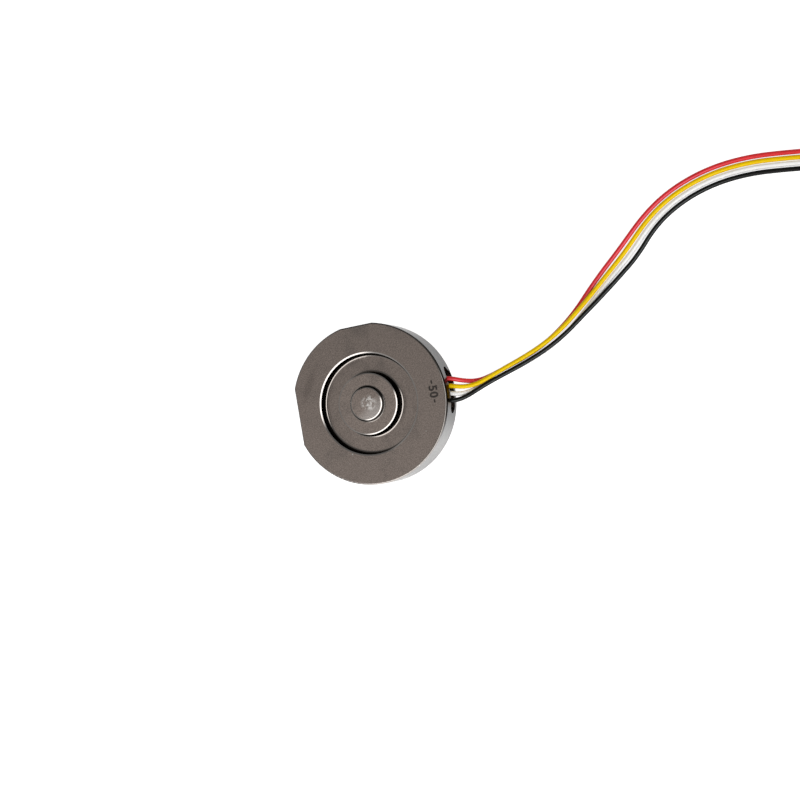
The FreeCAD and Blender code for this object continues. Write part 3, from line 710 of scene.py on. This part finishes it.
# leads: the routes that the solid tubes follow, in millimetres until they are drawn; a lead lies
# on the table or on another lead, and leaves the slot at the height of its conductor
onTable = 0.28
onLead = 0.86
conductorHeight = 2.18
leadCord = {
    "diameter": 0.55 * mm, "start": 7.75, "straight": 1.05, "pitch": 0.9, "offset": 0.15,
    "laneStep": 0.65, "resolution": 10, "bevelResolution": 6,
}
leadNames = ["red", "yellow", "white", "black"]
nearRoutes = {
    "red": [
        (9.8, 1.36, conductorHeight - 0.03), (10.5, 1.12, 1.98), (11.15, 0.88, 1.66),
        (11.8, 0.68, 1.24), (12.5, 0.55, 0.80), (13.4, 0.56, 0.45), (14.65, 0.86, onTable),
        (16.4, 1.40, onTable), (18.9, 2.17, onTable), (21.4, 3.16, onTable),
        (24.0, 4.78, onTable), (26.2, 6.58, onTable), (28.15, 8.62, onTable),
        (30.2, 10.58, onTable), (32.45, 12.56, onTable),
    ],
    "yellow": [
        (9.8, 0.46, conductorHeight - 0.02), (10.5, 0.24, 2.08), (11.2, 0.07, 1.90),
        (11.95, 0.02, 1.64), (12.85, 0.10, 1.30), (13.9, 0.45, 1.02), (15.2, 0.92, onLead),
        (16.9, 1.50, onLead), (19.3, 2.30, onLead), (21.75, 3.30, onLead),
        (24.1, 4.62, onLead), (26.4, 6.35, 0.79), (28.6, 8.2, 0.62), (30.8, 10.15, 0.42),
        (33.05, 12.1, onTable),
    ],
    "white": [
        (9.75, -0.47, conductorHeight - 0.03), (10.4, -0.66, 1.95), (11.05, -0.72, 1.58),
        (11.8, -0.62, 1.13), (12.7, -0.36, 0.71), (13.8, -0.01, 0.41), (15.1, 0.36, onTable),
        (16.85, 0.86, onTable), (19.4, 1.62, onTable), (22.05, 2.63, onTable),
        (24.6, 4.1, onTable), (26.95, 6.0, onTable), (29.15, 7.95, onTable),
        (31.4, 9.87, onTable), (33.7, 11.75, onTable),
    ],
    "black": [
        (9.6, -1.36, conductorHeight - 0.02), (10.3, -1.40, 2.06), (11.05, -1.29, 1.86),
        (11.85, -1.02, 1.60), (12.75, -0.62, 1.28), (13.85, -0.16, 1.00), (15.1, 0.28, onLead),
        (16.85, 0.82, onLead), (19.4, 1.63, onLead), (22.05, 2.66, onLead),
        (24.65, 4.07, onLead), (27.15, 5.86, 0.80), (29.6, 7.62, 0.62), (32.0, 9.45, 0.42),
        (34.4, 11.35, onTable),
    ],
}
sharedRoute = [
    (36.7, 15.3), (40.2, 17.4), (44.3, 18.65), (48.6, 18.95), (53.0, 18.45), (57.6, 17.7),
]
curl = {
    "centre": (61.0, 8.8), "radius": 7.9, "tightening": 0.0011, "start": 12, "points": 8,
    "steps": {"red": 40, "yellow": 44, "white": 47, "black": 50},
}


def leadRoute(name):
    lane = (len(leadNames) - 1) / 2 - leadNames.index(name)
    shift = lane * leadCord["laneStep"]
    start, entry = leadCord["start"], leadCord["offset"] + lane * leadCord["pitch"]
    points = [(start, entry, conductorHeight),
              (start + leadCord["straight"], entry, conductorHeight)]
    points += nearRoutes[name]
    for i, (x, y) in enumerate(sharedRoute):
        before = sharedRoute[max(i - 1, 0)]
        after = sharedRoute[min(i + 1, len(sharedRoute) - 1)]
        along = Vector((after[0] - before[0], after[1] - before[1])).normalized()
        points.append((x - along.y * shift, y + along.x * shift, onTable))
    step = curl["steps"][name]
    for i in range(curl["points"]):
        turned = curl["start"] + step * i
        radius = curl["radius"] * (1 - curl["tightening"] * turned) + shift
        radius /= math.cos(math.radians(step / 2))
        angle = math.radians(turned)
        points.append((
            curl["centre"][0] + radius * math.sin(angle),
            curl["centre"][1] + radius * math.cos(angle),
            onTable,
        ))
    return [Vector(point) * mm for point in points]


def newCurve(name, thickness, bevelResolution):
    data = bpy.data.curves.new(name, "CURVE")
    data.dimensions = "3D"
    data.bevel_depth = thickness / 2
    data.bevel_resolution = bevelResolution
    data.use_fill_caps = True
    return data


def drawLead(name, route):
    data = newCurve("lead_cord_" + name, leadCord["diameter"], leadCord["bevelResolution"])
    data.resolution_u = leadCord["resolution"]
    spline = data.splines.new("NURBS")
    spline.points.add(len(route) - 1)
    for point, place in zip(spline.points, route):
        point.co = (*place, 1.0)
    spline.order_u = 3
    spline.use_endpoint_u = True
    lead = placed("lead_cord_" + name, data)
    paint(lead, insulation[name])
    return lead


# the stripped and tinned end of each lead: one straight strand with six wound round it, cut to
# slightly different lengths
strandLook = {
    "strand": 0.083 * mm, "length": 3.0 * mm, "turns": 1.6, "around": 6, "points": 25,
    "uneven": 0.02, "bevelResolution": 3,
}


def drawStrands(name, start, along):
    look = strandLook
    data = newCurve("tip_strands_" + name, look["strand"], look["bevelResolution"])
    side = along.cross(Vector((0, 0, 1))).normalized()
    up = side.cross(along)
    for strand in range(look["around"] + 1):
        spline = data.splines.new("POLY")
        spline.points.add(look["points"] - 1)
        out = 0.0 if strand == look["around"] else look["strand"]
        reach = 1 - look["uneven"] * ((strand * 3) % 4)
        for i, point in enumerate(spline.points):
            share = i / (look["points"] - 1)
            angle = 2 * math.pi * (strand / look["around"] + look["turns"] * share)
            place = start + along * look["length"] * share * reach
            place += (side * math.cos(angle) + up * math.sin(angle)) * out
            point.co = (*place, 1.0)
        spline.use_smooth = True
    tip = placed("tip_strands_" + name, data)
    paint(tip, smallFinish["tinnedCopper"])
    return tip


def curveLength(piece):
    # the length of a cord's own line, without its thickness
    depth = piece.data.bevel_depth
    piece.data.bevel_depth = 0
    graph = bpy.context.evaluated_depsgraph_get()
    line = bpy.data.meshes.new_from_object(piece.evaluated_get(graph))
    piece.data.bevel_depth = depth
    places = [v.co.copy() for v in line.vertices]
    bpy.data.meshes.remove(line)
    return sum((b - a).length for a, b in zip(places, places[1:]))


for name in leadNames:
    route = leadRoute(name)
    lead = drawLead(name, route)
    bpy.context.view_layer.update()
    realLength = round(curveLength(lead), 4)
    tip = drawStrands(name, route[-1], (route[-1] - route[-2]).normalized())
    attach(lead, "root")
    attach(tip, "root")
    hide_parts("lead_" + name)
    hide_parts("tinned_tip_" + name)
    print("lead", name, "drawn,", round(realLength / mm, 1), "mm long")

# the etched rating mark beside the lead exit, read from the top of the photograph down
markLook = {
    "text": "50", "size": 1.42 * mm, "spacing": 1.12, "bolder": 0.052 * mm,
    "radius": 8.28 * mm, "thickness": 0.002 * mm, "raised": 0.6,
    "barPlace": 1.15 * mm, "bar": 0.42 * mm, "barWidth": 0.2 * mm,
}
markHeight = faceHeight + markLook["thickness"] * markLook["raised"]


def makeMark():
    look = markLook
    data = bpy.data.curves.new("etched_rating", "FONT")
    data.body = look["text"]
    data.size = look["size"]
    data.extrude = look["thickness"]
    data.offset = look["bolder"]
    data.space_character = look["spacing"]
    data.align_x = "CENTER"
    data.align_y = "CENTER"
    mark = placed("etched_rating", data)
    mark.location = (look["radius"], 0.0, markHeight)
    mark.rotation_euler = (0, 0, math.radians(-90))
    paint(mark, etchedMark)
    return mark


def makeMarkBars():
    look = markLook
    boxFaces = (
        (0, 1, 3, 2), (4, 6, 7, 5), (0, 4, 5, 1), (2, 3, 7, 6), (0, 2, 6, 4), (1, 5, 7, 3),
    )
    vertices, faces = [], []
    for end in (1, -1):
        middle = end * look["barPlace"]
        first = len(vertices)
        for y in (middle - look["bar"] / 2, middle + look["bar"] / 2):
            for x in (look["radius"] - look["barWidth"] / 2, look["radius"] + look["barWidth"] / 2):
                for z in (markHeight - look["thickness"], markHeight + look["thickness"]):
                    vertices.append((x, y, z))
        faces += [tuple(first + i for i in corners) for corners in boxFaces]
    bars = meshPiece("etched_bars", vertices, faces, smooth=False)
    paint(bars, etchedMark)
    return bars


for piece in (makeMark(), makeMarkBars()):
    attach(piece, "root")
print("mark placed")

# the table: a plain pale sheet, lifted to white where it is seen and lifted less where it is
# mirrored, with its shadow kept
tableLook = {
    "size": 3.0, "drop": 0.00001, "colour": (0.8, 0.8, 0.8), "roughness": 0.7,
    "lift": 0.75, "mirroredLift": 0.45,
}


def makeTable():
    look = tableLook
    half, level = look["size"], -look["drop"]
    table = meshPiece("table", [
        (-half, -half, level), (half, -half, level), (half, half, level), (-half, half, level),
    ], [(0, 1, 2, 3)])
    material, tree, shader = newMaterial("paleTable")
    shader.inputs["Base Color"].default_value = (*look["colour"], 1.0)
    shader.inputs["Roughness"].default_value = look["roughness"]
    shader.inputs["Specular IOR Level"].default_value = 0.0
    paths = addNode(tree, "ShaderNodeLightPath").outputs
    seen = arithmetic(tree, "MULTIPLY", paths["Is Camera Ray"], look["lift"])
    mirrored = arithmetic(
        tree, "ADD", paths["Is Glossy Ray"], paths["Is Transmission Ray"], True)
    lift = plusShare(tree, seen, mirrored, look["mirroredLift"])
    shader.inputs["Emission Color"].default_value = (1, 1, 1, 1)
    tree.links.new(lift, shader.inputs["Emission Strength"])
    paint(table, material)


# the room: dim overhead, dark about the lens, a broad bright window on one side and a dark curtain
# on the other; each span is where its edge starts and ends, in degrees, but the window's foot is a
# rise over run along the way that it faces
roomLook = {
    "dim": 0.34,
    "low": {"span": (12, 30), "value": 0.2},
    "dimColour": (1.0, 0.985, 0.97),
    "seenColour": (1.0, 1.0, 1.0),
    "lens": {"azimuth": -10.3, "elevation": 72.3, "inner": 9, "outer": 24, "value": 0.1},
    "window": {"left": (-130, -110), "right": (2, 34), "facing": -20, "foot": (0.27, 0.36),
               "leastRun": 0.02, "top": (54, 58), "value": 1.9},
    "curtain": {"left": (16, 34), "right": (118, 138), "top": (58, 68), "value": 0.13},
}


def makeRoom():
    look = roomLook
    lens, window, curtain, low = look["lens"], look["window"], look["curtain"], look["low"]
    world = bpy.data.worlds.new("studioRoom")
    world.use_nodes = True
    bpy.context.scene.world = world
    tree = world.node_tree
    background = tree.nodes["Background"]
    facing = addNode(tree, "ShaderNodeTexCoord").outputs["Generated"]
    parts = addNode(tree, "ShaderNodeSeparateXYZ", {"Vector": facing}).outputs
    azimuth = arithmetic(tree, "ARCTAN2", parts["Y"], parts["X"])

    def between(left, right):
        # one from the end of the left span to the start of the right one
        leftStart, leftEnd, rightStart, rightEnd = (math.radians(a) for a in (*left, *right))
        return product(tree, ramp(tree, azimuth, leftStart, leftEnd),
                       ramp(tree, azimuth, rightEnd, rightStart))

    def underTop(top):
        start, end = (math.sin(math.radians(angle)) for angle in top)
        return ramp(tree, parts["Z"], end, start)

    nearLens = ramp(tree, alongDirection(tree, facing, lens["azimuth"], lens["elevation"]),
                    math.cos(math.radians(lens["outer"])), math.cos(math.radians(lens["inner"])))
    run = arithmetic(
        tree, "MAXIMUM", alongDirection(tree, facing, window["facing"]), window["leastRun"])
    slope = arithmetic(tree, "DIVIDE", parts["Z"], run)
    inWindow = product(tree, between(window["left"], window["right"]),
                       underTop(window["top"]), ramp(tree, slope, *window["foot"]))
    onCurtain = product(
        tree, between(curtain["left"], curtain["right"]), underTop(curtain["top"]))
    onCurtain = without(tree, onCurtain, inWindow)

    level = ramp(tree, parts["Z"], *(math.sin(math.radians(angle)) for angle in low["span"]),
                 low["value"], look["dim"])
    for share, area in ((nearLens, lens), (inWindow, window), (onCurtain, curtain)):
        level = plusShare(tree, level, share, area["value"] - look["dim"])
    seen = addNode(tree, "ShaderNodeLightPath").outputs["Is Camera Ray"]
    tree.links.new(largest(tree, level, seen), background.inputs["Strength"])
    colour = blendColours(tree, seen, look["dimColour"], look["seenColour"])
    tree.links.new(colour, background.inputs["Color"])


# a large soft lamp straight above that lights the colours evenly
lampLook = {"size": 0.6, "place": (0.02, 0.0, 0.7), "power": 1.4}


def makeLamp():
    look = lampLook
    data = bpy.data.lights.new("overheadPanel", "AREA")
    data.shape = "SQUARE"
    data.size = look["size"]
    data.energy = look["power"]
    lamp = placed("overheadPanel", data)
    lamp.location = look["place"]
    lamp.visible_glossy = False


makeTable()
makeRoom()
makeLamp()
print("table, room and lamp ready")

# the camera, tipped from straight above towards the lead exit as in the photograph
cameraLook = {
    "aim": (3.672 * mm, -0.201 * mm, 3.5 * mm), "distance": 168 * mm, "tilt": 17.7, "lean": -10.3,
    "lens": 62.37, "sensor": 36, "clip": (0.005, 20),
}


def makeCamera():
    look = cameraLook
    lean = math.radians(look["lean"])
    back = directionOf(look["lean"], 90 - look["tilt"])
    right = Vector((-math.sin(lean), math.cos(lean), 0)).cross(back).normalized()
    up = back.cross(right)
    data = bpy.data.cameras.new("photoCamera")
    data.sensor_width = look["sensor"]
    data.lens = look["lens"]
    data.clip_start, data.clip_end = look["clip"]
    camera = placed("photoCamera", data)
    turn = Matrix((right, up, back)).transposed().to_4x4()
    camera.matrix_world = Matrix.Translation(Vector(look["aim"]) + back * look["distance"]) @ turn
    bpy.context.scene.camera = camera


makeCamera()
bpy.context.scene.view_settings.view_transform = "Standard"
